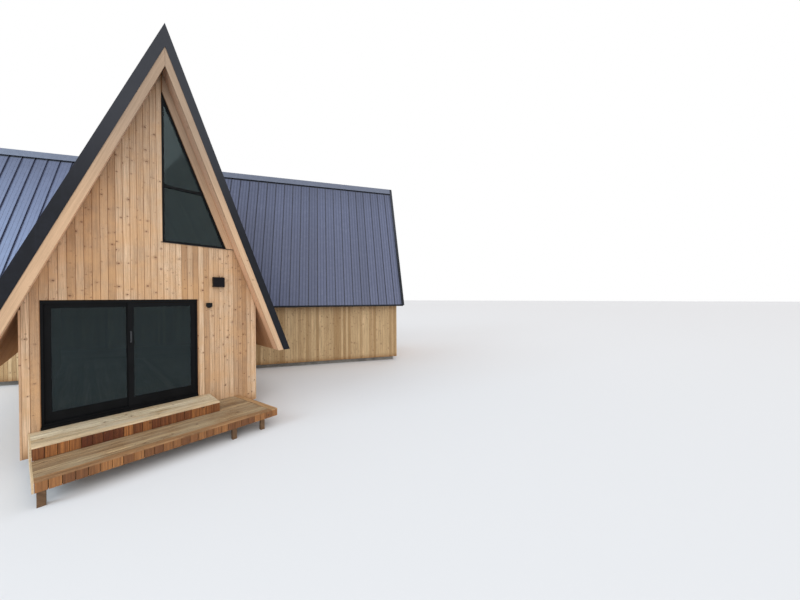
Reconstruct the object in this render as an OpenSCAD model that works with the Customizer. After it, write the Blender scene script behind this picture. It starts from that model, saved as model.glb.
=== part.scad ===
// A-frame cabin: a steep front gable with a sliding glass door, a stepped
// timber deck, and a skewed cross wing of the same section behind it.
// X runs along the front gable, Y into the building, Z up from the ground.
// The origin is on the ground, under the middle of the front foundation wall.

/* [Levels] */
// Height of the door sill and the floors above the ground
sill_z = 680; // [500:10:900]
// Height of the lower edge of the siding above the ground
siding_z = 180; // [120:10:260]
// Depth of the floor construction
floor_t = 250; // [180:10:320]

/* [Gable section] */
// Width across the outer faces of the side walls
gable_w = 4070; // [3600:10:4600]
// Pitch of every roof slope, in degrees
pitch = 69.65; // [67:0.05:72]
// Height of the inner apex of the roof above the sill
apex_h = 7826; // [7400:2:8400]
// Thickness of the walls
wall_t = 160; // [120:5:200]
// Thickness of the soffit boards under the front roof
soffit_t = 18; // [12:1:25]
// Depth of the roof construction above the soffit plane, at right angles to the slope
core_t = 249; // [220:1:280]
// Thickness of the metal sheet with its battens
sheet_t = 12; // [6:1:18]

/* [Front gable roof] */
// How far the roof reaches in front of the front wall
overhang = 425; // [300:5:600]
// Height of the roof's foot above the sill
foot_h = 903; // [700:1:1300]

/* [Cross wing] */
// Distance from the front wall to the point where the ridges meet
wing_y = 9100; // [8600:10:9800]
// Turn of the wing in plan, its right end towards the front, in degrees
wing_turn = 32.6; // [24:0.1:38]
// Length of the arm to the right of the ridge crossing
arm_right = 12192; // [10500:1:13800]
// Length of the arm to the left of it
arm_left = 7315; // [6000:1:9800]
// Height of the wing's eaves above the sill
eave_h = 2090; // [1800:10:2200]
// Height of the metal edge along the eaves
eave_trim_h = 80; // [50:5:120]
// How far the wing's roof reaches past its end walls
wing_overhang = 300; // [200:5:425]

/* [Rakes and ridge] */
// Width of the timber board along each rake
rake_board_w = 286; // [240:1:320]
// Thickness of that board
rake_board_t = 38; // [25:1:50]
// How far the board drops below the soffit plane
rake_drop = 21; // [10:1:40]
// Width of the metal trim over the board
rake_metal_w = 184; // [150:1:240]
// Thickness of the metal trim and of the ridge cap
trim_t = 12; // [6:1:16]
// How far the trim's top flange reaches back over the roof
rake_flange = 125; // [80:5:200]
// Height of a standing seam, which the trim and the ridge cap clear
seam_h = 38; // [25:1:50]
// Thickness of a standing seam, with its folded head
seam_t = 14; // [8:1:20]
// Width of one roof panel, from seam to seam
panel_w = 406.4; // [300:0.4:600]
// Distance of one of the seams from the ridge crossing, along the wing
seam_offset = 244; // [0:1:400]
// Length of each leg of the ridge cap, down the slope
cap_leg = 310; // [200:5:400]
// Height of the closure strips that the cap's legs stand on
closure_h = 30; // [15:1:60]
// Free joint where the front cap ends against the wing's
cap_joint = 2; // [1:0.5:6]
// Free joint between a sloping roof and what stands below it
seat_gap = 0.3; // [0.1:0.05:0.6]

/* [Sliding door] */
// Left side of the door opening, from the centre line
door_left = -1818; // [-1840:1:-1700]
// Width of the door opening
door_w = 2466; // [2200:2:2500]
// Height of the door opening above the sill
door_h = 2440; // [2100:5:2500]
// Width of the outer frame's jambs
door_jamb_w = 35; // [25:1:60]
// Height of the outer frame's head
door_head_w = 65; // [40:1:80]
// Height of the outer frame's sill
door_sill_w = 55; // [40:1:70]
// Width of the panels' stiles and top rails
stile_w = 95; // [70:1:110]
// Lap of the two panels' stiles in the middle
stile_lap = 64; // [40:1:70]
// Height of the panels' bottom rails
bottom_rail_h = 200; // [120:5:230]
// Thickness of a door panel
panel_t = 44; // [36:1:50]
// Thickness of the glass
glass_t = 20; // [12:1:24]
// How far the outer frame sits back from the siding
door_set_back = 20; // [0:1:30]
// Free space beside each panel within the frame
track_space = 12; // [8:0.5:16]
// Height of the tracks
track_h = 14; // [10:0.5:18]
// Thickness of the tracks
track_w = 8; // [6:0.5:10]
// Length of the two rollers under the sliding panel
roller_l = 60; // [40:1:80]
// Free space between the sliding panel and what it passes
run_gap = 6; // [5:0.5:8]
// Length of the pull on the sliding panel
pull_l = 245; // [180:5:400]
// Height of the middle of the pull above the sill
pull_h = 1610; // [1000:10:1800]
// Thickness of the pull's bar
pull_w = 24; // [16:1:30]
// How far the pull stands out from its panel
pull_stand = 40; // [34:1:60]

/* [Gable window] */
// Upright side of the window, from the centre line
window_left = -20; // [-100:5:100]
// Height of the window's lower edge above the sill
window_h = 3814; // [3600:2:4200]
// Width of the trim board between the window and the soffit
window_trim_w = 163; // [140:1:240]
// Width of the window frame's members
window_frame_w = 48; // [35:1:60]
// Depth of the window frame
window_frame_t = 70; // [50:1:100]
// Height of the transom's middle above the sill
transom_h = 5170; // [4800:10:5600]
// Height of the transom bar
transom_w = 62; // [45:1:80]
// How far that trim board stands proud of the siding
window_trim_t = 20; // [12:1:30]
// How far the window frame sits back from the siding
window_set_back = 30; // [10:1:60]

/* [Loft] */
// Height of the loft floor above the sill
loft_h = 2900; // [2700:10:3100]
// Thickness of the loft floor
loft_t = 220; // [160:10:300]

/* [Wall fittings] */
// Side of the square wall light
light_w = 260; // [200:5:300]
// How far the light stands off the wall
light_d = 110; // [80:5:150]
// Thickness of the light's shell
light_shell = 8; // [4:1:12]
// Depth of its two lamp wells, open above and below
light_well = 60; // [30:1:90]
// Centre of the light, from the centre line
light_x = 1110; // [1000:10:1250]
// Centre of the light above the sill
light_h = 2895; // [2750:5:3000]
// Width of the half-round entry sensor
sensor_w = 130; // [100:2:160]
// How far the sensor stands off the wall
sensor_d = 60; // [40:2:90]
// Centre of the sensor, from the centre line
sensor_x = 900; // [850:10:1100]
// Top of the sensor above the sill
sensor_h = 2345; // [2250:5:2500]
// Width of the corner boards on the side walls
corner_w = 90; // [60:5:140]
// Thickness of the corner boards
corner_t = 26; // [19:1:50]

/* [Deck] */
// Left end of both deck levels at the wall, from the centre line
deck_left_back = -1950; // [-2000:5:-1850]
// Left end of the lower level at its front edge
deck_left_front = -1775; // [-1850:5:-1700]
// Right end of the upper level, from the centre line
upper_right = 885; // [700:5:1200]
// Depth of the upper level in front of the wall
upper_d = 880; // [700:5:1000]
// How far the upper level lies below the sill
upper_drop = 35; // [15:1:120]
// Rise from the lower level to the upper one
step_rise = 226; // [180:2:240]
// Depth of the lower level in front of the wall
lower_d = 1770; // [1500:2:2000]
// Right end of the lower level at its front edge
lower_right_front = 1875; // [1700:5:2100]
// Right end of the lower level at the wall
lower_right_back = 1600; // [1500:5:2000]
// Thickness of the deck boards
deck_t = 28; // [22:1:38]
// Thickness of the upright skirt boards
skirt_t = 22; // [16:1:30]
// Height of the lower level's skirt below its boards
lower_skirt_h = 150; // [100:5:250]
// Thickness of the light boards that close the left end
end_board_t = 22; // [16:1:30]
// Depth of the deck's joists
joist_h = 140; // [120:2:160]
// Thickness of a joist
joist_t = 38; // [32:1:45]
// Distance from one joist to the next
joist_pitch = 600; // [400:10:650]
// Side of the square deck posts
post_w = 89; // [70:1:120]

/* [Foundation] */
// Thickness of the foundation walls
foundation_t = 200; // [150:10:300]

/* [Hidden] */

// Longer than any part of the building, for cutting shapes
far = 2 * (arm_right + arm_left);
// Reach of a cut past the face that it opens
cut = 1;

half_w = gable_w / 2;
inner_w = half_w - wall_t;
apex_z = sill_z + apex_h;
foot_z = sill_z + foot_h;
eave_z = sill_z + eave_h;
floor_bottom = sill_z - floor_t;

// Layers of the roof, as distances from the soffit plane
core_top = core_t;
sheet_top = core_top + sheet_t;
cap_bottom = sheet_top + seam_h;
cap_top = cap_bottom + trim_t;
board_top = rake_board_w - rake_drop;
metal_low = cap_top - rake_metal_w;

// Height on the centre line of a roof plane at distance d above the soffit plane
function plane_z(d) = apex_z + d / cos(pitch);
// Half width of that plane at height z
function plane_x(d, z) = (plane_z(d) - z) / tan(pitch);

// Profiles across a gable, drawn as [across, up]
module half_band(d0, d1, low) {
    polygon([
        [0, plane_z(d0)], [plane_x(d0, low), low],
        [plane_x(d1, low), low], [0, plane_z(d1)]
    ]);
}

module band(d0, d1, low) {
    polygon([
        [-plane_x(d1, low), low], [0, plane_z(d1)], [plane_x(d1, low), low],
        [plane_x(d0, low), low], [0, plane_z(d0)], [-plane_x(d0, low), low]
    ]);
}

// Everything under a roof plane at distance d
module under_plane(d) {
    polygon([[-plane_x(d, 0), 0], [0, plane_z(d)], [plane_x(d, 0), 0]]);
}

// A wall of half width w under the soffit plane, with its free joint
module wall_outline(w, low) {
    side_top = plane_z(-seat_gap) - w * tan(pitch);
    polygon([[-w, low], [w, low], [w, side_top], [0, plane_z(-seat_gap)], [-w, side_top]]);
}

// The front wall's outer face is this far in front of the origin
front_y = -(wall_t + foundation_t / 2);

// Moves what is measured from the front wall's face to its place
module at_front() {
    translate([0, front_y, 0]) children();
}

// Sweeps a profile of the front gable from y0 back to y1
module front_sweep(y0, y1) {
    translate([0, y1, 0]) rotate([90, 0, 0]) linear_extrude(height = y1 - y0) children();
}

// Puts its children in the wing's own frame: u along the ridge, v to the back
module in_wing() {
    translate([0, wing_y, 0]) rotate([0, 0, -wing_turn]) children();
}

// Sweeps a profile of the wing from u0 to u1
module wing_sweep(u0, u1) {
    in_wing() translate([u0, 0, 0]) rotate([90, 0, 90]) linear_extrude(height = u1 - u0) children();
}

// Everything behind the wing's front slope and front wall, with the free joint
module behind_wing_front() {
    wall_v = half_w + seat_gap;
    under_z = eave_z - seat_gap;
    outer = sheet_top + seat_gap;
    wing_sweep(-far, far) polygon([
        [-wall_v, -far], [-wall_v, plane_z(-seat_gap) - wall_v * tan(pitch)],
        [-plane_x(-seat_gap, under_z), under_z], [-plane_x(outer, under_z), under_z],
        [0, plane_z(outer)], [0, far], [far, far], [far, -far]
    ]);
}

// The room under the front gable, as it opens into the wing
module front_room() {
    front_sweep(0, far) wall_outline(inner_w, -far);
}

module left_of(x) {
    intersection() {
        children();
        translate([x - 2 * far, -far, -far]) cube([2 * far, 2 * far, 2 * far]);
    }
}

module right_of(x) {
    intersection() {
        children();
        translate([x, -far, -far]) cube([2 * far, 2 * far, 2 * far]);
    }
}

// Front gable walls
module gable_plate() {
    front_sweep(0, wall_t) wall_outline(half_w, siding_z);
}

door_right = door_left + door_w;
door_top = sill_z + door_h;

module front_wall_left() {
    color("burlywood") at_front() intersection() {
        gable_plate();
        translate([-half_w, 0, 0]) cube([half_w + door_left, wall_t, door_top]);
    }
}

module front_wall_right() {
    color("burlywood") at_front() intersection() {
        gable_plate();
        translate([door_right, 0, 0]) cube([half_w - door_right, wall_t, door_top]);
    }
}

// The strip of wall below the door
module front_wall_base() {
    color("burlywood") at_front() translate([door_left, 0, siding_z])
        cube([door_w, wall_t, sill_z - siding_z]);
}

window_z = sill_z + window_h;
window_edge_z = plane_z(-window_trim_w);

// The window's outline, moved in from its edges by the given amount
module window_outline(inset) {
    left = window_left + inset;
    low = window_z + inset;
    edge = window_edge_z - inset / cos(pitch);
    polygon([[left, low], [(edge - low) / tan(pitch), low], [left, edge - left * tan(pitch)]]);
}

module front_wall_upper() {
    color("burlywood") at_front() difference() {
        intersection() {
            gable_plate();
            translate([-half_w, 0, door_top]) cube([gable_w, wall_t, apex_z]);
        }
        front_sweep(-cut, wall_t + cut) window_outline(0);
    }
}

// Side walls of the front part, from behind the front wall to the wing
module side_wall() {
    difference() {
        front_sweep(wall_t, far) intersection() {
            wall_outline(half_w, siding_z);
            translate([inner_w, siding_z]) square([wall_t, apex_z]);
        }
        behind_wing_front();
    }
}

module side_wall_right() {
    color("burlywood") at_front() side_wall();
}

module side_wall_left() {
    color("burlywood") at_front() difference() {
        front_sweep(wall_t, far) intersection() {
            wall_outline(half_w, siding_z);
            translate([-half_w, siding_z]) square([wall_t, apex_z]);
        }
        behind_wing_front();
    }
}

// Floors
module wing_room_block(low, high) {
    in_wing() translate([-far, -inner_w, low]) cube([2 * far, far, high - low]);
}

module front_floor() {
    color("tan") at_front() difference() {
        translate([-inner_w, wall_t, floor_bottom]) cube([2 * inner_w, far, floor_t]);
        wing_room_block(floor_bottom - cut, sill_z + cut);
    }
}

module wing_floor() {
    color("tan") at_front() in_wing() translate([wall_t - arm_left, -inner_w, floor_bottom])
        cube([arm_left + arm_right - 2 * wall_t, 2 * inner_w, floor_t]);
}

// The loft follows both arms of the plan, between the sloping ceilings
module loft_section() {
    intersection() {
        wall_outline(inner_w, 0);
        translate([-inner_w, sill_z + loft_h - loft_t]) square([2 * inner_w, loft_t]);
    }
}

module loft_floor() {
    color("tan") at_front() {
        difference() {
            front_sweep(wall_t, far) loft_section();
            wing_room_block(0, plane_z(0));
        }
        wing_sweep(wall_t - arm_left, arm_right - wall_t) loft_section();
    }
}

// Foundation walls, set in behind the siding
module front_foundation() {
    color("dimgray") at_front() difference() {
        translate([-inner_w, wall_t, 0]) cube([2 * inner_w, far, floor_bottom]);
        translate([foundation_t - inner_w, wall_t + foundation_t, -cut])
            cube([2 * (inner_w - foundation_t), far, floor_bottom + 2 * cut]);
        wing_room_block(-cut, floor_bottom + cut);
    }
}

module wing_foundation() {
    length = arm_left + arm_right - 2 * wall_t;
    color("dimgray") at_front() in_wing() translate([wall_t - arm_left, -inner_w, 0]) difference() {
        cube([length, 2 * inner_w, floor_bottom]);
        translate([foundation_t, foundation_t, -cut])
            cube([length - 2 * foundation_t, 2 * (inner_w - foundation_t), floor_bottom + 2 * cut]);
    }
}

// Front roof: boards, construction and metal sheet of each slope
front_edge = -overhang;
board_back = front_edge + trim_t + rake_board_t;

module front_roof_left() {
    color("peru") at_front() difference() {
        front_sweep(board_back, far) mirror([1, 0]) half_band(soffit_t, core_top, foot_z);
        behind_wing_front();
    }
}

module front_roof_right() {
    color("peru") at_front() difference() {
        front_sweep(board_back, far) half_band(soffit_t, core_top, foot_z);
        behind_wing_front();
    }
}

module front_soffit() {
    color("navajowhite") at_front() difference() {
        front_sweep(board_back, far) band(0, soffit_t, foot_z);
        behind_wing_front();
    }
}

// Standing seams rise from the sheet between the panels, and stop short of the
// ridge cap and of the valleys
cap_low = plane_z(cap_top) - cap_leg * sin(pitch);
seam_top = cap_bottom - seat_gap;

module seam_profile(low) {
    intersection() {
        half_band(sheet_top - cut, seam_top, low);
        translate([0, low]) square([far, cap_low - seat_gap - low]);
    }
}

module behind_wing_seams() {
    wing_sweep(-far, far) under_plane(seam_top);
    in_wing() translate([-far, 0, 0]) cube([2 * far, far, far]);
}

first_front_seam = front_edge + rake_flange + panel_w - seam_t;

module front_roofing() {
    color("#2b2f36") at_front() {
        difference() {
            front_sweep(board_back, far) band(core_top, sheet_top, foot_z);
            behind_wing_front();
        }
        difference() {
            for (y = [first_front_seam : panel_w : wing_y + half_w], side = [0, 1])
                mirror([side, 0, 0]) front_sweep(y, y + seam_t) seam_profile(foot_z);
            behind_wing_seams();
        }
    }
}

// Rake boards and the metal trim that caps them, with a flange on the roof
module front_rake_board() {
    color("wheat") at_front() front_sweep(front_edge + trim_t, board_back)
        band(-rake_drop, board_top, foot_z);
}

module front_rake_metal() {
    color("#1c1f24") at_front() {
        front_sweep(front_edge, front_edge + trim_t) band(metal_low, cap_top, foot_z);
        front_sweep(front_edge + trim_t, front_edge + rake_flange) band(cap_bottom, cap_top, foot_z);
    }
}

// Gable windows: right-angled triangles with one transom
module frame_profile() {
    difference() {
        window_outline(0);
        window_outline(window_frame_w);
    }
    intersection() {
        window_outline(window_frame_w);
        transom_outline();
    }
}

module transom_outline() {
    translate([window_left, sill_z + transom_h - transom_w / 2]) square([half_w, transom_w]);
}

module pane_profile() {
    difference() {
        window_outline(window_frame_w);
        transom_outline();
    }
}

// Places a profile of the front gable in all three gables, as each is seen from
// outside, from depth d0 to d1 behind the siding
module in_gables(d0, d1) {
    front_sweep(d0, d1) children();
    wing_sweep(arm_right - d1, arm_right - d0) children();
    wing_sweep(d0 - arm_left, d1 - arm_left) mirror([1, 0]) children();
}

module window_frame() {
    color("#141414") at_front() in_gables(window_set_back, window_set_back + window_frame_t)
        frame_profile();
}

module window_glass() {
    pane_y = window_set_back + (window_frame_t - glass_t) / 2;
    color("#3b4a52") at_front() in_gables(pane_y, pane_y + glass_t) pane_profile();
}

module window_trim() {
    color("wheat") at_front() in_gables(-window_trim_t, 0)
        half_band(-window_trim_w, -seat_gap, window_z);
}

// Sliding door: outer frame with two tracks, a fixed left panel on the inner
// track and a sliding right panel on the outer track
outer_track_y = door_set_back + track_space;
inner_track_y = outer_track_y + panel_t + track_space;
inside_left = door_left + door_jamb_w;
inside_right = door_right - door_jamb_w;
inside_low = sill_z + door_sill_w;
inside_top = door_top - door_head_w;
leaf_w = (inside_right - inside_left + stile_lap) / 2;
door_depth = inner_track_y + panel_t + track_space - door_set_back;

module door_frame() {
    color("#141414") at_front() {
        difference() {
            translate([door_left, door_set_back, sill_z]) cube([door_w, door_depth, door_h]);
            translate([inside_left, door_set_back - cut, inside_low])
                cube([inside_right - inside_left, door_depth + 2 * cut, inside_top - inside_low]);
        }
        for (y = [outer_track_y, inner_track_y])
            translate([inside_left, y + (panel_t - track_w) / 2, inside_low])
                cube([inside_right - inside_left, track_w, track_h]);
    }
}

// Stiles and rails of one panel, with a groove below for its track
module panel_ring(x, y, low, high) {
    difference() {
        translate([x, y, low]) cube([leaf_w, panel_t, high - low]);
        translate([x + stile_w, y - cut, low + bottom_rail_h])
            cube([leaf_w - 2 * stile_w, panel_t + 2 * cut, high - low - bottom_rail_h - stile_w]);
        translate([x - cut, y + (panel_t - track_w) / 2 - run_gap, low - cut])
            cube([leaf_w + 2 * cut, track_w + 2 * run_gap, track_h + cut]);
    }
}

module panel_pane(x, y, low, high) {
    translate([x + stile_w, y + (panel_t - glass_t) / 2, low + bottom_rail_h])
        cube([leaf_w - 2 * stile_w, glass_t, high - low - bottom_rail_h - stile_w]);
}

fixed_x = inside_left;
sliding_x = inside_right - leaf_w - run_gap;
sliding_low = inside_low + run_gap;
sliding_top = inside_top - run_gap;

module fixed_panel() {
    color("#1b1b1b") at_front() panel_ring(fixed_x, inner_track_y, inside_low, inside_top);
}

module fixed_glass() {
    color("#3b4a52") at_front() panel_pane(fixed_x, inner_track_y, inside_low, inside_top);
}

module sliding_panel() {
    wheel_low = inside_low + track_h + seat_gap;
    wheel_top = sliding_low + track_h;
    color("#1b1b1b") at_front() {
        panel_ring(sliding_x, outer_track_y, sliding_low, sliding_top);
        for (x = [sliding_x + stile_w, sliding_x + leaf_w - stile_w - roller_l])
            translate([x, outer_track_y + (panel_t - track_w) / 2, wheel_low])
                cube([roller_l, track_w, wheel_top - wheel_low]);
    }
}

module sliding_glass() {
    color("#3b4a52") at_front() panel_pane(sliding_x, outer_track_y, sliding_low, sliding_top);
}

module door_pull() {
    x = sliding_x + (stile_w - pull_w) / 2;
    low = sill_z + pull_h - pull_l / 2;
    color("#101010") at_front() difference() {
        translate([x, outer_track_y - pull_stand, low]) cube([pull_w, pull_stand, pull_l]);
        translate([x - cut, outer_track_y - pull_stand + pull_w / 2, low + pull_w])
            cube([pull_w + 2 * cut, pull_stand, pull_l - 2 * pull_w]);
    }
}

// Fittings on the front wall
module wall_light() {
    light_z = sill_z + light_h;
    color("#101010") at_front() difference() {
        translate([light_x - light_w / 2, -light_d, light_z - light_w / 2])
            cube([light_w, light_d, light_w]);
        for (z = [light_z - light_w / 2 - cut, light_z + light_w / 2 - light_well])
            translate([light_x - light_w / 2 + light_shell, light_shell - light_d, z])
                cube([light_w - 2 * light_shell, light_d - 2 * light_shell, light_well + cut]);
    }
}

module entry_sensor() {
    top = sill_z + sensor_h;
    color("#181818") at_front() translate([sensor_x, 0, top - sensor_w / 2]) rotate([90, 0, 0])
        linear_extrude(height = sensor_d) {
            circle(d = sensor_w, $fn = 64);
            translate([-sensor_w / 2, 0]) square([sensor_w, sensor_w / 2]);
        }
}

module corner_trims() {
    top = apex_z - half_w * tan(pitch);
    color("wheat") at_front() for (side = [-1, 1])
        difference() {
            translate([side > 0 ? half_w : -half_w - corner_t, 0, siding_z])
                cube([corner_t, corner_w, top - siding_z]);
            front_sweep(-cut, corner_w + cut) band(-seat_gap, core_top, siding_z);
        }
}

// Deck: two levels on one frame, with upright skirt boards
upper_z = sill_z - upper_drop;
lower_z = upper_z - step_rise;
under = lower_z - deck_t;
skirt_low = under - lower_skirt_h;

// Left end of the deck at distance d in front of the wall
function deck_left(d) = deck_left_back + (deck_left_front - deck_left_back) * d / lower_d;

module upper_outline(inset) {
    polygon([
        [deck_left(upper_d - inset) + inset, -upper_d + inset],
        [upper_right - inset, -upper_d + inset],
        [upper_right - inset, 0], [deck_left(0) + inset, 0]
    ]);
}

module lower_outline(inset) {
    difference() {
        polygon([
            [deck_left(lower_d - inset) + inset, -lower_d + inset],
            [lower_right_front - inset, -lower_d + inset],
            [lower_right_back - inset, 0], [deck_left(0) + inset, 0]
        ]);
        translate([deck_left_back - cut, -upper_d])
            square([upper_right - deck_left_back + cut, upper_d + cut]);
    }
}

module upper_deck() {
    color("#b3a386") at_front() translate([0, 0, upper_z - deck_t]) linear_extrude(height = deck_t)
        upper_outline(0);
}

module lower_deck() {
    color("#a39478") at_front() translate([0, 0, lower_z - deck_t]) linear_extrude(height = deck_t)
        lower_outline(0);
}

module deck_skirts() {
    color("#8a4a2a") at_front() {
        translate([0, 0, under]) linear_extrude(height = upper_z - deck_t - under)
            difference() {
                upper_outline(0);
                upper_outline(skirt_t);
            }
        translate([0, 0, skirt_low]) linear_extrude(height = lower_skirt_h)
            difference() {
                lower_outline(0);
                lower_outline(skirt_t);
            }
    }
}

module end_board(d, low, high) {
    translate([0, 0, low]) linear_extrude(height = high - low)
        polygon([
            [deck_left(0) - end_board_t, 0], [deck_left(0), 0],
            [deck_left(d), -d], [deck_left(d) - end_board_t, -d]
        ]);
}

module deck_end_boards() {
    color("#d8c39a") at_front() {
        end_board(upper_d, lower_z, upper_z);
        end_board(lower_d, skirt_low, lower_z);
    }
}

module joists(right, front, low, high) {
    left = deck_left(-front - skirt_t) + skirt_t;
    for (x = [left : joist_pitch : right - joist_t])
        translate([x, front + skirt_t, low]) cube([joist_t, -front - skirt_t, high - low]);
    for (y = [front + skirt_t, -joist_t]) {
        start = deck_left(-y) + skirt_t;
        translate([start, y, low]) cube([right - start, joist_t, high - low]);
    }
}

module deck_frame() {
    color("#6b4a32") at_front() {
        joists(upper_right - skirt_t, -upper_d, under, upper_z - deck_t);
        joists(lower_right_back - skirt_t, -lower_d, under - joist_h, under);
        left = deck_left(lower_d - skirt_t) + skirt_t;
        for (x = [left, upper_right, lower_right_back - skirt_t - post_w])
            for (y = [-lower_d + skirt_t, -post_w])
                translate([x, y, 0]) cube([post_w, post_w, under]);
    }
}

// Wing roof
wing_u0 = -arm_left - wing_overhang + trim_t + rake_board_t;
wing_u1 = arm_right + wing_overhang - trim_t - rake_board_t;

module wing_slope_front(d0, d1) {
    difference() {
        wing_sweep(wing_u0, wing_u1) mirror([1, 0]) half_band(d0, d1, eave_z);
        front_room();
    }
}

module wing_roof_front_left() {
    color("peru") at_front() left_of(0) wing_slope_front(0, core_top);
}

module wing_roof_front_right() {
    color("peru") at_front() right_of(0) wing_slope_front(0, core_top);
}

module wing_roof_back() {
    color("peru") at_front() wing_sweep(wing_u0, wing_u1) half_band(0, core_top, eave_z);
}

seam_low = eave_z + eave_trim_h / 2 + seat_gap;
first_seam = seam_offset - floor((arm_left + seam_offset) / panel_w) * panel_w;

module wing_roofing() {
    color("#3b4250") at_front() {
        wing_slope_front(core_top, sheet_top);
        wing_sweep(wing_u0, wing_u1) half_band(core_top, sheet_top, eave_z);
        for (u = [first_seam : panel_w : arm_right]) {
            wing_sweep(u - seam_t / 2, u + seam_t / 2) seam_profile(seam_low);
            difference() {
                wing_sweep(u - seam_t / 2, u + seam_t / 2) mirror([1, 0]) seam_profile(seam_low);
                front_sweep(-far, far) under_plane(seam_top);
            }
        }
    }
}

// Wing walls
module wing_side(side) {
    wing_sweep(wall_t - arm_left, arm_right - wall_t) intersection() {
        wall_outline(half_w, siding_z);
        translate([side > 0 ? inner_w : -half_w, siding_z]) square([wall_t, apex_z]);
    }
}

module wing_wall_front_left() {
    color("burlywood") at_front() left_of(-inner_w) wing_side(-1);
}

module wing_wall_front_right() {
    color("burlywood") at_front() right_of(inner_w) wing_side(-1);
}

module wing_wall_back() {
    color("burlywood") at_front() wing_side(1);
}

module wing_gable_left() {
    color("burlywood") at_front() difference() {
        wing_sweep(-arm_left, wall_t - arm_left) wall_outline(half_w, siding_z);
        in_gables(-cut, wall_t + cut) window_outline(0);
    }
}

module wing_gable_right() {
    color("burlywood") at_front() difference() {
        wing_sweep(arm_right - wall_t, arm_right) wall_outline(half_w, siding_z);
        in_gables(-cut, wall_t + cut) window_outline(0);
    }
}

// Trim of the wing's ends, eaves and both ridges
module wing_rake_boards() {
    color("wheat") at_front() {
        wing_sweep(wing_u1, wing_u1 + rake_board_t) band(-rake_drop, board_top, eave_z);
        wing_sweep(wing_u0 - rake_board_t, wing_u0) band(-rake_drop, board_top, eave_z);
    }
}

module wing_rake_metal() {
    right_end = arm_right + wing_overhang;
    left_end = -arm_left - wing_overhang;
    color("#1c1f24") at_front() {
        wing_sweep(right_end - trim_t, right_end) band(metal_low, cap_top, eave_z);
        wing_sweep(right_end - rake_flange, right_end - trim_t) band(cap_bottom, cap_top, eave_z);
        wing_sweep(left_end, left_end + trim_t) band(metal_low, cap_top, eave_z);
        wing_sweep(left_end + trim_t, left_end + rake_flange) band(cap_bottom, cap_top, eave_z);
    }
}

// The eave's metal edge: a short leg on the sheet and one hanging below it
module eave_strip() {
    half_h = eave_trim_h / 2;
    inner = sheet_top + seat_gap;
    outer = sheet_top + trim_t;
    polygon([
        [plane_x(inner, eave_z), eave_z - half_h], [plane_x(outer, eave_z), eave_z - half_h],
        [plane_x(outer, eave_z), eave_z], [plane_x(outer, eave_z + half_h), eave_z + half_h],
        [plane_x(inner, eave_z + half_h), eave_z + half_h], [plane_x(inner, eave_z), eave_z]
    ]);
}

module eave_trims() {
    color("#1c1f24") at_front() {
        difference() {
            wing_sweep(wing_u0, wing_u1) mirror([1, 0]) eave_strip();
            front_sweep(-far, far) under_plane(sheet_top + seat_gap);
        }
        wing_sweep(wing_u0, wing_u1) eave_strip();
    }
}

// Ridge caps bent over both slopes, each leg standing on a closure strip
module cap_profile() {
    band(cap_bottom, cap_top, cap_low);
    intersection() {
        band(sheet_top + seat_gap, cap_bottom, cap_low);
        translate([-far, cap_low]) square([2 * far, closure_h]);
    }
}

module ridge_caps() {
    color("#6d737c") at_front() {
        difference() {
            front_sweep(front_edge + rake_flange, far) cap_profile();
            wing_sweep(-far, far) under_plane(cap_top + cap_joint);
            in_wing() translate([-far, 0, 0]) cube([2 * far, far, far]);
        }
        difference() {
            wing_sweep(rake_flange - arm_left - wing_overhang, arm_right + wing_overhang - rake_flange)
                cap_profile();
            intersection() {
                front_sweep(0, far) under_plane(sheet_top + seat_gap);
                in_wing() translate([-far, -far, 0]) cube([2 * far, far, far]);
            }
        }
    }
}

front_wall_left();
front_wall_right();
front_wall_base();
front_wall_upper();
side_wall_left();
side_wall_right();
front_floor();
loft_floor();
front_roof_left();
front_roof_right();
front_soffit();
front_roofing();
front_rake_board();
front_rake_metal();
window_frame();
window_glass();
window_trim();
door_frame();
fixed_panel();
fixed_glass();
sliding_panel();
sliding_glass();
door_pull();
wall_light();
entry_sensor();
corner_trims();
front_foundation();
upper_deck();
lower_deck();
deck_frame();
deck_skirts();
deck_end_boards();
wing_roof_front_left();
wing_roof_front_right();
wing_roof_back();
wing_roofing();
wing_wall_front_left();
wing_wall_front_right();
wing_wall_back();
wing_gable_left();
wing_gable_right();
wing_floor();
wing_foundation();
wing_rake_boards();
wing_rake_metal();
eave_trims();
ridge_caps();
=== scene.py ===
import math

import bmesh
import bpy
from mathutils import Matrix, Vector


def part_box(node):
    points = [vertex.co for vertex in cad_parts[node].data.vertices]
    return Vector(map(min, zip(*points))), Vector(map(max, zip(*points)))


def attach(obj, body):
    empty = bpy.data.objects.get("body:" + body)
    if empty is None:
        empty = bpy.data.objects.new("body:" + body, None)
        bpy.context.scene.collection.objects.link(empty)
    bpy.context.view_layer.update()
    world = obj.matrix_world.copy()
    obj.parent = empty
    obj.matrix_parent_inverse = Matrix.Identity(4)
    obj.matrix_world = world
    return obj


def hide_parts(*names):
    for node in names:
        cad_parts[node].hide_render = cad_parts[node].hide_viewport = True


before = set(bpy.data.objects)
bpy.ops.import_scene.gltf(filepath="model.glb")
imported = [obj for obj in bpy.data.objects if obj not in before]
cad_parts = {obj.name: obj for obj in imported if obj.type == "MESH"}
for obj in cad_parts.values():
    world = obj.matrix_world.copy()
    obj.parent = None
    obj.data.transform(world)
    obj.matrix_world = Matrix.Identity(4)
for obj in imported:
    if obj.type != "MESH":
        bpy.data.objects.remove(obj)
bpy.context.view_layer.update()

# Studio: a pale floor and an even white surround, a wide soft sun, a weak fill from
# the right, and a broad bluish panel over the left roof. The viewer stands to the
# left of the door and looks along the building to the right.
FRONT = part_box("front_wall_upper")[0].y
VIEW_PLACE = (-1.2462, FRONT - 8.5749, 3.1344)
VIEW_ANGLES = (48.75, -0.444, -0.269)  # turn, tilt and roll, in degrees
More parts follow.
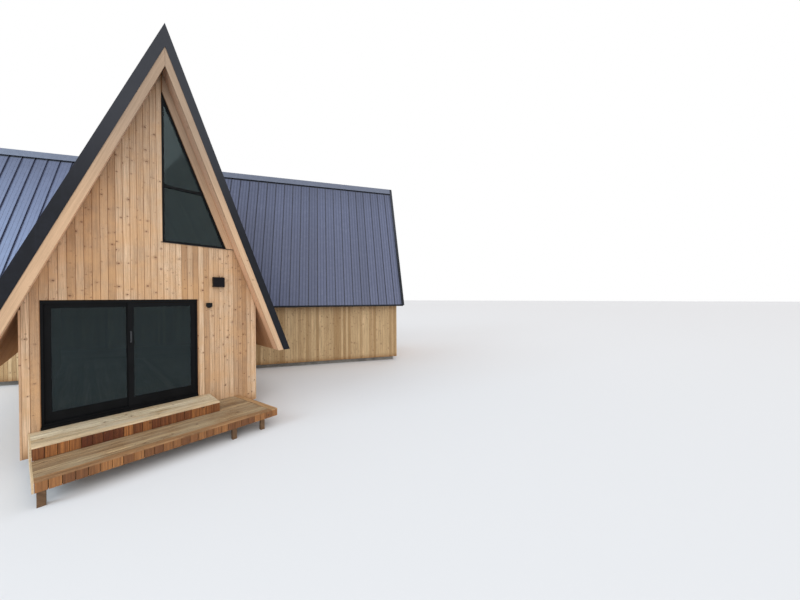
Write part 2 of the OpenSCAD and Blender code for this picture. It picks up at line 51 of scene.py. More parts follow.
VIEW_LENS = 12.426
VIEW_DEPTH = 600
FLOOR_REACH = 260
scene = bpy.context.scene
scene.view_settings.view_transform = "Standard"


def feed(tree, node, feeds):
    """Sets a node's inputs, each to a value or to the socket that feeds it."""
    for key, value in feeds.items():
        if isinstance(value, bpy.types.NodeSocket):
            tree.links.new(value, node.inputs[key])
        else:
            node.inputs[key].default_value = value


def put(tree, kind, feeds=None, **settings):
    """One shader node, with its settings and inputs."""
    made = tree.nodes.new("ShaderNode" + kind)
    for key, value in settings.items():
        setattr(made, key, value)
    feed(tree, made, feeds or {})
    return made


def paint(red, green, blue):
    """A colour as read off a screen, 0 to 255, for a shader's socket."""
    steps = [part / 255 for part in (red, green, blue)]
    linear = [s / 12.92 if s <= 0.04045 else ((s + 0.055) / 1.055) ** 2.4 for s in steps]
    return (*linear, 1.0)


def open_finish(name):
    """A new material, with its node tree and its shader."""
    finish = bpy.data.materials.new(name)
    finish.use_nodes = True
    return finish, finish.node_tree, finish.node_tree.nodes["Principled BSDF"]


def place_camera():
    turn, tilt, roll = (math.radians(angle) for angle in VIEW_ANGLES)
    ahead = Vector((math.sin(turn) * math.cos(tilt), math.cos(turn) * math.cos(tilt), math.sin(tilt)))
    level = Vector((math.cos(turn), -math.sin(turn), 0))
    upright = level.cross(ahead)
    across = math.cos(roll) * level + math.sin(roll) * upright
    over = math.cos(roll) * upright - math.sin(roll) * level
    viewer = bpy.data.objects.new("viewer", bpy.data.cameras.new("viewer"))
    viewer.data.lens = VIEW_LENS
    viewer.data.clip_end = VIEW_DEPTH
    viewer.matrix_world = Matrix((across, over, -ahead)).transposed().to_4x4()
    viewer.location = VIEW_PLACE
    scene.collection.objects.link(viewer)
    scene.camera = viewer


def light_all_round(ambient):
    """A surround that is seen and mirrored as white, and lights the building at the strength ambient."""
    surround = bpy.data.worlds.new("surround")
    surround.use_nodes = True
    scene.world = surround
    tree = surround.node_tree
    rays = put(tree, "LightPath").outputs
    seen = rays["Is Camera Ray"]
    for kind in ("Is Glossy Ray", "Is Transmission Ray"):
        seen = put(tree, "Math", {0: seen, 1: rays[kind]}, operation="MAXIMUM").outputs[0]
    strength = put(tree, "MapRange", {0: seen, 3: ambient, 4: 1.0}).outputs[0]
    feed(tree, tree.nodes["Background"], {"Color": (1, 1, 1, 1), "Strength": strength})


def hang_lamp(name, kind, strength, place, aim):
    """A lamp at place, turned towards aim."""
    lamp = bpy.data.objects.new(name, bpy.data.lights.new(name, kind))
    lamp.data.energy = strength
    lamp.location = place
    lamp.rotation_euler = (Vector(aim) - Vector(place)).to_track_quat("-Z", "Y").to_euler()
    scene.collection.objects.link(lamp)
    return lamp


place_camera()
light_all_round(ambient=0.85)
soft_sun = hang_lamp("soft_sun", "SUN", 0.8, (0, 0, 0), (0.3, 0.8, -0.6))
soft_sun.data.angle = math.radians(60)
fill = hang_lamp("fill", "SUN", 0.3, (0, 0, 0), (-0.5, 0.85, 0))
fill.data.angle = math.radians(90)
left_panel = hang_lamp("left_panel", "AREA", 7300, (-34, FRONT + 6, 22), (0, FRONT + 9, 5))
left_panel.data.size = 16
left_panel.data.color = (0.66, 0.86, 1.0)
left_panel.visible_camera = False

floor_mesh = bpy.data.meshes.new("floor")
floor_corners = [(x * FLOOR_REACH, y * FLOOR_REACH, 0) for x, y in ((-1, -1), (1, -1), (1, 1), (-1, 1))]
floor_mesh.from_pydata(floor_corners, [], [(0, 1, 2, 3)])
floor_paint, tree, shader = open_finish("pale_floor")
feed(tree, shader, {"Base Color": paint(226, 226, 228), "Roughness": 0.9})
floor_mesh.materials.append(floor_paint)
floor = bpy.data.objects.new("floor", floor_mesh)
scene.collection.objects.link(floor)

# Front siding: upright tongue-and-groove boards of knotty fir with a clear
# oil, each one nailed to the wall with a shadow gap beside it. The boards are cut
# round the sliding door and the triangular window.
TILT = math.radians(69.65)
TURN = math.radians(32.6)
APEX = 8.506
HALF = 2.035
WALL_TOP = APEX - HALF * math.tan(TILT)
CROSSING = 9.1
ARM_RIGHT = 12.192
ARM_LEFT = 7.315
SIDING_LOW = 0.18
BOARD_THICK = 0.009
BOARD_WIDTH = 0.1136
BOARD_GAP, BOARD_BEVEL = 0.003, 0.003
NARROWEST, SLIVER = 0.3, 0.008  # a share of a board's width beside a wall's end, and in metres
FIRST_JOINT = -0.006
NEXT_SEED = 0.731
CLEAR = 0.004
ROOF_GAP = 0.012
DOOR_LEFT, DOOR_RIGHT, DOOR_LOW, DOOR_HIGH = -1.818, 0.648, 0.68, 3.12
WINDOW_LEFT, WINDOW_LOW = -0.020, 4.494
# Painted shade: the tint that darkens boards towards their foot.
FOOT_SHADE_TINT = (204, 182, 158)
# Painted shade: the bluish grey that darkens wood towards the peak.
PEAK_SHADE_TINT = (208, 215, 227)


def plane_top(rise):
    """Height on the centre line of the roof plane that lies rise above the soffit plane."""
    return APEX + rise / math.cos(TILT)


def run_out(rise, z):
    """Half width of that plane at height z."""
    return (plane_top(rise) - z) / math.tan(TILT)


def darker(colour, share):
    """A share of a colour's brightness, for a shader's socket."""
    return paint(*[share * part for part in colour])


def blend(tree, factor, first, second, how="MIX"):
    """The colour between two others."""
    return put(tree, "Mix", {0: factor, 6: first, 7: second}, data_type="RGBA", blend_type=how).outputs[2]


def reckon(tree, operation, first, second=0.0, third=0.0):
    return put(tree, "Math", {0: first, 1: second, 2: third}, operation=operation).outputs[0]


def times(tree, first, second):
    return reckon(tree, "MULTIPLY", first, second)


def ramp(tree, value, low, high, to_low=0.0, to_high=1.0):
    """Eases from to_low to to_high as value goes from low to high."""
    feeds = {0: value, 1: low, 2: high, 3: to_low, 4: to_high}
    return put(tree, "MapRange", feeds, interpolation_type="SMOOTHSTEP").outputs[0]


def split(tree, vector):
    """The three parts of a place."""
    return put(tree, "SeparateXYZ", {0: vector}).outputs


def join(tree, *parts):
    """A place from its parts."""
    return put(tree, "CombineXYZ", dict(enumerate(parts))).outputs[0]


def clouds(tree, place, scale, detail, **more):
    """Soft noise over a place."""
    return put(tree, "TexNoise", {"Vector": place, "Scale": scale, "Detail": detail, **more}).outputs["Fac"]


def spot(tree):
    """The place on the building."""
    return put(tree, "TexCoord").outputs["Object"]


def height_of(tree):
    return split(tree, spot(tree))[2]


def emboss(tree, height, strength, distance):
    """The normal of a surface that has this height over it."""
    return put(tree, "Bump", {"Strength": strength, "Distance": distance, "Height": height}).outputs[0]


def open_group(name, inputs):
    """A shader group and what it is given. An input without a value is a place."""
    group = bpy.data.node_groups.new(name, "ShaderNodeTree")
    for label, value in inputs.items():
        kind = "NodeSocketVector" if value is None else "NodeSocketFloat"
        socket = group.interface.new_socket(label, in_out="INPUT", socket_type=kind)
        if value is not None:
            socket.default_value = value
    return group, group.nodes.new("NodeGroupInput").outputs


def close_group(group, results, kind="Float"):
    """Gives a shader group its outputs."""
    for label in results:
        group.interface.new_socket(label, in_out="OUTPUT", socket_type="NodeSocket" + kind)
    feed(group, group.nodes.new("NodeGroupOutput"), results)
    return group


def make_figure():
    """The figure of one sawn board: fibres, knots with the dark wood round them, and its own tone."""
    group, given = open_group(
        "board_figure", {"Board": None, "Knot Spacing": 0.26, "Knot Size": 0.011, "Lines": 55.0})
    # Each board is sawn from another place.
    board = split(group, given["Board"])
    seed, spacing = board[2], given["Knot Spacing"]
    chance = put(group, "TexWhiteNoise", {"W": seed}, noise_dimensions="1D").outputs
    moved = split(group, chance["Color"])
    along = reckon(group, "MULTIPLY_ADD", moved[0], 41.0, board[0])
    across = reckon(group, "MULTIPLY_ADD", moved[1], 17.0, board[1])
    # Knots of different sizes, one in each cell of the board, with ragged edges and a halo.
    narrow = times(group, spacing, 0.42)
    cell = join(group, reckon(group, "DIVIDE", along, spacing), reckon(group, "DIVIDE", across, narrow))
    knots = put(group, "TexVoronoi", {"Vector": cell, "Scale": 1.0}, voronoi_dimensions="2D").outputs
    away = put(group, "VectorMath", {0: cell, 1: knots["Position"]}, operation="SUBTRACT").outputs[0]
    off = split(group, away)
    off_along, off_across = times(group, off[0], spacing), times(group, off[1], narrow)
    luck = put(group, "SeparateColor", {0: knots["Color"]}).outputs
    growth = reckon(group, "MULTIPLY_ADD", reckon(group, "POWER", luck[0], 2.0), 1.4, 0.4)
    size = times(group, given["Knot Size"], growth)
    round_knot = join(group, reckon(group, "DIVIDE", off_along, size),
                      reckon(group, "DIVIDE", times(group, off_across, 0.75), size))
    ragged = clouds(group, join(group, along, across), 130.0, 2.0)
    reach = put(group, "VectorMath", {0: round_knot}, operation="LENGTH").outputs["Value"]
    reach = reckon(group, "ADD", reach, reckon(group, "MULTIPLY_ADD", ragged, 0.7, -0.35))
    # Stretches of clear wood have fewer of them.
    clear_wood = clouds(group, join(group, times(group, along, 0.9), times(group, seed, 7.3)), 1.0, 1.0)
    there = reckon(group, "GREATER_THAN", luck[1], ramp(group, clear_wood, 0.35, 0.65, 0.25, 0.85))
    knot = times(group, ramp(group, reach, 1.15, 0.75), there)
    halo = times(group, ramp(group, reach, 4.2, 0.9), there)
    # Broad lines and thin fibres run along the board and bend round the knots.
    bent = reckon(group, "SUBTRACT", across, times(group, times(group, halo, 0.8), off_across))
    slow = join(group, times(group, along, 1.3), times(group, bent, given["Lines"]), times(group, seed, 9.1))
    broad = clouds(group, slow, 1.0, 3.0, Roughness=0.55, Distortion=0.25)
    fibre = clouds(group, join(group, times(group, along, 9.0), times(group, bent, 420.0)), 1.0, 2.0)
    grain = reckon(group, "MULTIPLY_ADD", fibre, 0.3, times(group, broad, 0.7))
    return close_group(group, {"Grain": ramp(group, grain, 0.36, 0.64), "Knot": knot, "Halo": halo,
                               "Tone": chance["Value"], "Fibre": fibre})


board_figure = make_figure()


def finish_wood(name, pale, deep, knot, grain=0.5, spacing=0.26, knot_size=0.011, rough=0.62,
                weather=None, weathered=0.0, board=None, foot_shade_height=0.0, peak=0.0):
    """A wood finish. pale and deep are the palest and deepest boards, knot is the colour of the knots,
    splash is the height below which painted shade darkens the boards, and peak is how far painted
    shade darkens and greys them near the peak. board lays boards over a surface that has none of its own."""
    finish, tree, shader = open_finish(name)
    layout = board(tree) if board else put(tree, "Attribute", attribute_name="board").outputs["Vector"]
    figure = put(tree, "Group", {"Board": layout, "Knot Spacing": spacing, "Knot Size": knot_size},
                 node_tree=board_figure).outputs
    tone = blend(tree, figure["Tone"], paint(*pale), paint(*deep))
    colour = blend(tree, times(tree, figure["Grain"], grain), tone, darker(deep, 0.72))
    if weather:
        patch = clouds(tree, spot(tree), 1.7, 5.0, Roughness=0.62)
        grey = times(tree, ramp(tree, patch, 0.35, 0.68), weathered)
        colour = blend(tree, grey, colour, paint(*weather))
    ring = [0.6 * inner + 0.4 * outer for inner, outer in zip(knot, deep)]
    colour = blend(tree, times(tree, figure["Halo"], 0.3), colour, paint(*ring))
    colour = blend(tree, times(tree, figure["Knot"], 0.86), colour, paint(*knot))
    # Painted shade: the boards darken towards their foot, below the given height.
    if foot_shade_height:
        uneven = reckon(tree, "MULTIPLY_ADD", figure["Grain"], 0.16, -0.08)
        foot_shade_mask = ramp(tree, reckon(tree, "ADD", height_of(tree), uneven), foot_shade_height, foot_shade_height - 0.28)
        colour = blend(tree, foot_shade_mask, colour, paint(*FOOT_SHADE_TINT), "MULTIPLY")
    # Painted shade: the wood turns darker and greyer towards the peak.
    if peak:
        peak_shade_mask = ramp(tree, height_of(tree), 4.4, 7.2, 0.0, peak)
        colour = blend(tree, peak_shade_mask, colour, paint(*PEAK_SHADE_TINT), "MULTIPLY")
    relief = reckon(tree, "ADD", times(tree, figure["Fibre"], 0.5), times(tree, figure["Knot"], -0.7))
    feed(tree, shader, {
        "Base Color": colour,
        "Roughness": reckon(tree, "MULTIPLY_ADD", figure["Grain"], 0.14, rough - 0.07),
        "Normal": emboss(tree, relief, 0.28, 0.0012),
        "Specular IOR Level": 0.35})
    return finish


def new_stack():
    """A stack of boards: their corners, their faces, and the place on its board of each corner."""
    return [], [], []


def plank(stack, where, left, right, low, high, thick, seed,
          gap=(0, 0), bevel=(BOARD_BEVEL, BOARD_BEVEL), breaks=()):
    """Adds one closed board to stack. where(across, along, lift) is its place on the building; low and
    high are the ends' places along it, as numbers or as functions of the place across. breaks are the
    places across where such an end has a corner, and seed sets the board's figure."""
    corners, faces, figures = stack
    left, right = left + gap[0], right - gap[1]
    if right - left < 2 * BOARD_BEVEL:
        return
    stations = [(left, thick - bevel[0])]
    if bevel[0]:
        stations.append((left + bevel[0], thick))
    stations += [(stop, thick) for stop in sorted(breaks) if left + bevel[0] < stop < right - bevel[1]]
    if bevel[1]:
        stations.append((right - bevel[1], thick))
    stations.append((right, thick - bevel[1]))
    start = len(corners)
    for across, lift in stations:
        bottom = low(across) if callable(low) else low
        top = high(across) if callable(high) else high
        for along, depth in ((bottom, 0.0), (bottom, lift), (top, lift), (top, 0.0)):
            corners.append(where(across, along, depth))
            figures.append((along, across, seed))
    last = start + 4 * (len(stations) - 1)
    for near in range(start, last, 4):
        for edge in range(4):
            other = (edge + 1) % 4
            faces.append((near + edge, near + other, near + 4 + other, near + 4 + edge))
    faces.append((start + 3, start + 2, start + 1, start))
    faces.append((last, last + 1, last + 2, last + 3))


def fasten(name, stack, finish, stands_for=()):
    """Makes a stack of boards into one piece that rides on the building."""
    corners, faces, figures = stack
    mesh = bpy.data.meshes.new(name)
    mesh.from_pydata(corners, [], faces)
    layout = mesh.attributes.new("board", "FLOAT_VECTOR", "POINT")
    layout.data.foreach_set("vector", [part for figure in figures for part in figure])
    shaped = bmesh.new()
    shaped.from_mesh(mesh)
    bmesh.ops.recalc_face_normals(shaped, faces=shaped.faces)
    shaped.to_mesh(mesh)
    shaped.free()
    mesh.materials.append(finish)
    piece = bpy.data.objects.new(name, mesh)
    scene.collection.objects.link(piece)
    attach(piece, "cabin")
    if stands_for:
        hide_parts(*stands_for)


def edges_over(low, high, width, through=0.0):
    """Board edges from low to high, one of them at through."""
    first, last = math.floor((low - through) / width), math.ceil((high - through) / width)
    inner = [through + width * step for step in range(first, last + 1)]
    spare = NARROWEST * width
    return [low, *[edge for edge in inner if low + spare < edge < high - spare], high]


def clad(stack, where, edges, regions, thick, seed):
    """Covers regions of a wall with boards. A region is (left, right, low, high), and a board that it
    cuts has no gap and no bevel on that side."""
    for number, (left, right) in enumerate(zip(edges, edges[1:])):
        for region_left, region_right, low, high in regions:
            start, end = max(left, region_left), min(right, region_right)
            if end - start < SLIVER:
                continue
            whole = (start == left, end == right)
            plank(stack, where, start, end, low, high, thick, seed + number * NEXT_SEED,
                  gap=[BOARD_GAP * side for side in whole], bevel=[BOARD_BEVEL * side for side in whole],
                  breaks=(0.0,))


def in_wing(u, v, z):
    """A place in the cross wing, u along its ridge to the right and v to its back."""
    return Vector((u * math.cos(TURN) + v * math.sin(TURN),
                   FRONT + CROSSING - u * math.sin(TURN) + v * math.cos(TURN), z))


def on_front_gable(across, z, out):
    return Vector((across, FRONT - out, z))


def on_right_gable(across, z, out):
    return in_wing(ARM_RIGHT + out, across, z)


def on_left_gable(across, z, out):
    return in_wing(-ARM_LEFT - out, -across, z)


def gable_top(across):
    return APEX - ROOF_GAP - abs(across) * math.tan(TILT)


# Painted shade darkens these boards towards the peak and towards their foot.
oiled_fir = finish_wood("oiled_fir", (240, 209, 175), (178, 138, 101), (88, 42, 20), grain=0.56,
                        knot_size=0.0105, weather=(212, 164, 114), weathered=0.5, foot_shade_height=0.42, peak=0.5)
window_corner = run_out(0, WINDOW_LOW)
front_regions = [
    (-HALF, DOOR_LEFT - CLEAR, SIDING_LOW, gable_top),
    (DOOR_LEFT - CLEAR, DOOR_RIGHT + CLEAR, SIDING_LOW, DOOR_LOW - CLEAR),
    (DOOR_LEFT - CLEAR, WINDOW_LEFT - CLEAR, DOOR_HIGH + CLEAR, gable_top),
    (WINDOW_LEFT - CLEAR, DOOR_RIGHT + CLEAR, DOOR_HIGH + CLEAR, WINDOW_LOW - CLEAR),
    (DOOR_RIGHT + CLEAR, window_corner, SIDING_LOW, WINDOW_LOW - CLEAR),
    (window_corner, HALF, SIDING_LOW, gable_top),
]
stack = new_stack()
siding_edges = edges_over(-HALF, HALF, BOARD_WIDTH, through=FIRST_JOINT)
clad(stack, on_front_gable, siding_edges, front_regions, BOARD_THICK, seed=1.0)
fasten("front_siding", stack, oiled_fir)

# Siding of the other walls: the same boards, a shade warmer where the roof's
# overhang keeps the rain off them, and oiled as on the front on the wing's gables.
CORNER_WIDTH = 0.09
INNER_CORNER = 0.012
EAVE_LINE = WALL_TOP - CLEAR


def side_right(across, z, out):
    return Vector((HALF + out, FRONT + across, z))


def side_left(across, z, out):
    return Vector((-HALF - out, FRONT + across, z))


def wing_front(across, z, out):
    return in_wing(across, -HALF - out, z)


def wing_back(across, z, out):
    return in_wing(across, HALF + out, z)


def wall_end(side):
    """Where a side wall of the front part meets the wing's wall, measured from the front."""
    return CROSSING - HALF * (1 + side * math.sin(TURN)) / math.cos(TURN)


def wing_end(side):
    """Where the wing's front wall starts beside the front part, measured along the wing."""
    return side * HALF * (1 + side * math.sin(TURN)) / math.cos(TURN)


# These boards also darken towards their foot, as painted shade.
sheltered_fir = finish_wood("sheltered_fir", (224, 194, 150), (174, 139, 95), (84, 46, 24), grain=0.55,
                            knot_size=0.01, foot_shade_height=0.4)
walls = [
    ("side_siding_right", side_right, CORNER_WIDTH, wall_end(1) - BOARD_THICK, 101.0),
    ("side_siding_left", side_left, CORNER_WIDTH, wall_end(-1) - BOARD_THICK, 201.0),
    ("wing_siding_front_right", wing_front, wing_end(1) + INNER_CORNER, ARM_RIGHT, 301.0),
    ("wing_siding_front_left", wing_front, -ARM_LEFT, wing_end(-1) - INNER_CORNER, 401.0),
    ("wing_siding_back", wing_back, -ARM_LEFT, ARM_RIGHT, 501.0),
]
for name, where, start, end, seed in walls:
    stack = new_stack()
    wall = [(start, end, SIDING_LOW, EAVE_LINE)]
    clad(stack, where, edges_over(start, end, BOARD_WIDTH), wall, BOARD_THICK, seed)
    fasten(name, stack, sheltered_fir)

wing_regions = [
    (-HALF, WINDOW_LEFT - CLEAR, SIDING_LOW, gable_top),
    (WINDOW_LEFT - CLEAR, window_corner, SIDING_LOW, WINDOW_LOW - CLEAR),
    (window_corner, HALF, SIDING_LOW, gable_top),
]
for hand, where, seed in (("right", on_right_gable, 701.0), ("left", on_left_gable, 801.0)):
    stack = new_stack()
    clad(stack, where, edges_over(-HALF, HALF, BOARD_WIDTH), wing_regions, BOARD_THICK, seed)
    fasten(f"wing_siding_gable_{hand}", stack, oiled_fir)

# Corner boards: upright lengths of planed fir that close the ends of the siding
# at the front part's corners, nailed over the side walls' edges.
CORNER_THICK = 0.026
CORNER_LAP = 0.012
CORNER_TOP = WALL_TOP - CORNER_THICK * math.tan(TILT) - CLEAR


def corner_front(side):
    return lambda across, z, out: Vector((side * (HALF + out), FRONT + across, z))


# Painted shade darkens the trim wood towards the peak.
pale_fir = finish_wood("pale_trim_fir", (226, 192, 156), (206, 166, 130), (120, 82, 58), grain=0.36,
                       spacing=0.6, knot_size=0.008, peak=1.0)
stack = new_stack()
for side in (-1, 1):
    plank(stack, corner_front(side), -CORNER_LAP, CORNER_WIDTH, SIDING_LOW, CORNER_TOP, CORNER_THICK,
          seed=3.0 + side)
fasten("corner_boards", stack, pale_fir, stands_for=("corner_trims",))

# Soffits: tongue-and-groove boards nailed under the overhanging roof, running up
# the slope beside each gable and under the eaves of the front part.
SOFFIT_THICK = 0.006
SOFFIT_START = 0.021
EAVE_BOARD = 0.094
EAVE_LOW, EAVE_HIGH = 1.585, WALL_TOP - 0.03
EAVE_CLEAR = 0.02
FRONT_OVERHANG, WING_OVERHANG = 0.425, 0.3
FRONT_FOOT, WING_FOOT = 1.583, 2.77
RAKE_SET = 0.05  # from the roof's edge in to the back of the rake boards
GABLES = [
    ("front", on_front_gable, FRONT_OVERHANG, FRONT_FOOT),
    ("right", on_right_gable, WING_OVERHANG, WING_FOOT),
    ("left", on_left_gable, WING_OVERHANG, WING_FOOT),
]


def under_slope(where, side):
    """Under one slope of a gable's roof: across is the distance out from the wall."""
    return lambda across, z, drop: where(side * run_out(-drop, z), z, across)


def under_eave(side):
    """Under the front roof beside the building: across is the distance behind the front wall."""
    return lambda across, z, drop: Vector((side * run_out(-drop, z), FRONT + across, z))


def wing_wall_line(side, z):
    """How far behind the front wall the underside at height z meets the wing's wall."""
    return CROSSING - (HALF + side * run_out(0, z) * math.sin(TURN)) / math.cos(TURN)


def slanted_ends(side, short, long):
    """The low and high ends of the eave's boards between short and long, cut along the wing's wall."""
    def rising(across):
        return EAVE_LOW + (EAVE_HIGH - EAVE_LOW) * (across - short) / (long - short)

    def falling(across):
        return EAVE_HIGH - (EAVE_HIGH - EAVE_LOW) * (across - short) / (long - short) + 0.01
    return (rising, EAVE_HIGH) if side > 0 else (EAVE_LOW, falling)


# The soffit's boards are painted lighter, as light under the overhang, and painted shade darkens them
# towards the peak.
brightened_soffit_fir = finish_wood("brightened_soffit_fir", (250, 210, 174), (234, 182, 142), (132, 88, 62), grain=0.42,
                         spacing=0.3, knot_size=0.009, peak=0.9)
# The eave's boards are the same wood painted darker and warmer, as shade under the eaves.
shaded_eave_fir = finish_wood("shaded_eave_fir", (210, 162, 124), (191, 140, 101), (112, 70, 46), grain=0.36,
                       spacing=0.3, knot_size=0.009)
for key, where, overhang, foot in GABLES:
    reach = overhang - RAKE_SET
    edges = edges_over(SOFFIT_START, reach - 0.002, reach / 4)
    for side, hand in ((-1, "left"), (1, "right")):
        stack = new_stack()
        slope = [(edges[0], edges[-1], foot + 0.002, APEX - 0.03)]
        clad(stack, under_slope(where, side), edges, slope, SOFFIT_THICK, 900.0 + 31 * side + len(key))
        fasten(f"soffit_{key}_{hand}", stack, brightened_soffit_fir)

for side, hand in ((-1, "left"), (1, "right")):
    stack = new_stack()
    short, long = sorted(wing_wall_line(side, z) - 0.03 for z in (EAVE_LOW, EAVE_HIGH))
    eave = [(0.0, short, EAVE_LOW, EAVE_HIGH),
            (short, long - EAVE_CLEAR, *slanted_ends(side, short, long))]
    edges = edges_over(0.0, long - EAVE_CLEAR, EAVE_BOARD)
    clad(stack, under_eave(side), edges, eave, SOFFIT_THICK, 960.0 + side * 17)
    fasten(f"soffit_eave_{hand}", stack, shaded_eave_fir)

# Rake boards: a wide planed fir board up each side of every gable, mitred at the
# peak and nailed to the ends of the roof.
RAKE_DROP = 0.021
RAKE_TOP = 0.265
RAKE_THICK = 0.038
MITRE = 0.005
RAKE_NODES = {"front": ("front_rake_board",), "right": ("wing_rake_boards",), "left": ()}


def up_rake(where, side, start):
    """On a rake: across is the distance above the soffit plane, lift is outwards."""
    return lambda across, z, lift: where(side * run_out(across, z), z, start + lift)


def rake_peak(rise):
    return plane_top(rise) - MITRE


for key, where, overhang, foot in GABLES:
    stack = new_stack()
    for side in (-1, 1):
        plank(stack, up_rake(where, side, overhang - RAKE_SET), -RAKE_DROP, RAKE_TOP, foot, rake_peak,
              RAKE_THICK, seed=41.0 + side + len(key), bevel=(0.004, 0.004))
    fasten(f"rake_boards_{key}", stack, pale_fir, stands_for=RAKE_NODES[key])

# Roof: painted sheet steel with standing seams every 406 mm, two low ribs rolled
# into each panel, and folded trim along the rakes, the eaves and the ridges.
PANEL = 0.4064
SEAM_WIDTH = 0.014
RIB_HALF, RIB_HIGH = 0.014, 0.004
SHEET_TOP = 0.261
CAP_PLANE, CAP_LEG = 0.311, 0.31
CAP_FOOT = plane_top(CAP_PLANE) - CAP_LEG * math.sin(TILT) - 0.01
WING_EAVE, FRONT_EAVE = 2.812, 1.584
GABLE_END = 0.14
RAKE_FLANGE = 0.125
WING_SEAM = 0.244
VALLEY_CLEAR = 0.02
first_seam = WING_SEAM - math.floor((ARM_LEFT + WING_SEAM) / PANEL) * PANEL
front_seam = -FRONT_OVERHANG + RAKE_FLANGE - SEAM_WIDTH / 2 + PANEL


def make_waviness():
    """How thin sheet metal lies: slow hollows in each panel, dust, and fine streaks of rain."""
    group, given = open_group("sheet_waviness", {"Place": None, "Hollows": 1.6, "Streaks": 30.0})
    hollow = clouds(group, given["Place"], given["Hollows"], 1.5)
    dust = clouds(group, given["Place"], 5.5, 6.0, Roughness=0.68)
    x, y, z = split(group, given["Place"])
    run = join(group, times(group, x, given["Streaks"]), times(group, y, given["Streaks"]), z)
    return close_group(group, {"Hollow": hollow, "Dust": dust, "Streak": clouds(group, run, 1.0, 3.0)})


def make_seam_shade_and_dust():
    """Painted shade with some dust beside each seam and each rib, and how far each panel differs from the
    next.
    """
    group, given = open_group("seam_shade_and_dust", {"Along": 0.0})
    panels = reckon(group, "DIVIDE", given["Along"], PANEL)
    own = put(group, "TexWhiteNoise", {"W": reckon(group, "FLOOR", panels)}, noise_dimensions="1D")
    share = reckon(group, "FRACT", panels)
    to_seam = reckon(group, "MINIMUM", share, reckon(group, "SUBTRACT", 1.0, share))
    to_middle = reckon(group, "ABSOLUTE", reckon(group, "SUBTRACT", share, 0.5))
    to_rib = reckon(group, "ABSOLUTE", reckon(group, "SUBTRACT", to_middle, 1 / 6))
    beside = reckon(group, "ABSOLUTE", reckon(group, "SUBTRACT", times(group, to_rib, PANEL), RIB_HALF))
    return close_group(group, {"Seam": ramp(group, times(group, to_seam, PANEL), 0.024, 0.01),
                               "Rib": ramp(group, beside, 0.012, 0.004), "Panel": own.outputs["Value"]})


sheet_waviness = make_waviness()
seam_shade_and_dust = make_seam_shade_and_dust()


def turned_spot(tree, turn, centre=(0, 0, 0)):
    """The place on the building, turned about centre: the wing's ridge comes to lie along x."""
    feeds = {"Vector": spot(tree), "Center": centre, "Angle": turn}
    return put(tree, "VectorRotate", feeds, rotation_type="Z_AXIS").outputs[0]


def along_wing(tree):
    """How far along the wing's roof a place is, from its first seam."""
    place = turned_spot(tree, TURN, (0, FRONT + CROSSING, 0))
    return reckon(tree, "SUBTRACT", split(tree, place)[0], first_seam)


def along_front(tree):
    """How far along the front part's roof a place is, from its first seam."""
    return reckon(tree, "SUBTRACT", split(tree, spot(tree))[1], FRONT + front_seam)


def finish_steel(name, colour, pale, rough, bump=0.35, shine=0.5, along=None,
                 shade_and_dust_ramp=(0.0, 1.0, 0.2, 0.2), faded=None):
    """Painted sheet steel. along is the way along the roof, grimy is where on it the painted shade and
    dust beside the seams and ribs grow from one strength to another, and faded is the colour that is left
    near the peak. With along, a painted shadow also darkens the sheet under the ridge cap."""
    finish, tree, shader = open_finish(name)
    sheet = put(tree, "Group", {"Place": spot(tree)}, node_tree=sheet_waviness).outputs
    dusty = times(tree, ramp(tree, sheet["Dust"], 0.42, 0.75), 0.5)
    washed = times(tree, ramp(tree, sheet["Streak"], 0.5, 0.8), 0.35)
    tint = blend(tree, washed, blend(tree, dusty, paint(*colour), paint(*pale)), paint(*pale))
    if along:
        run = along(tree)
        marks = put(tree, "Group", {"Along": run}, node_tree=seam_shade_and_dust).outputs
        shade_and_dust_strength = ramp(tree, run, *shade_and_dust_ramp)
        height = height_of(tree)
        shades = [  # how much, and how dark
            # Each panel's tone differs at random; beside the ribs and seams is painted shade with some dust.
            (times(tree, marks["Panel"], 0.3), 0.72),
            (times(tree, marks["Rib"], shade_and_dust_strength), 0.5),
            (times(tree, marks["Seam"], reckon(tree, "ADD", shade_and_dust_strength, 0.25)), 0.3),
            # Painted shadow under the ridge cap: a soft darkening over 1.6 m below its foot, and a crisp
            # dark line just beneath it.
            (ramp(tree, height, CAP_FOOT - 1.6, CAP_FOOT, 0.0, 0.26), 0.6),
            (ramp(tree, height, CAP_FOOT - 0.085, CAP_FOOT - 0.045, 0.0, 0.9), 0.2),
        ]
        for amount, share in shades:
            tint = blend(tree, amount, tint, darker(colour, share))
    if faded:
        tint = blend(tree, ramp(tree, height_of(tree), 4.6, 7.4), tint, paint(*faded))
    feed(tree, shader, {
        "Base Color": tint,
        "Roughness": reckon(tree, "MULTIPLY_ADD", sheet["Dust"], 0.24, rough - 0.12),
        "Normal": emboss(tree, sheet["Hollow"], bump, 0.02),
        "Metallic": 0.25,
        "Specular IOR Level": shine})
    return finish


def dress(node, finish, bevel=0.0):
    """Gives a CAD node its finish, and rounds its edges."""
    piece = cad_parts[node]
    piece.data.materials.clear()
    piece.data.materials.append(finish)
    for slot in piece.material_slots:
        slot.material = finish
    if bevel:
        soft = piece.modifiers.new("edges", "BEVEL")
        soft.width = bevel
        soft.segments = 2
        soft.limit_method = "ANGLE"
        soft.angle_limit = math.radians(40)


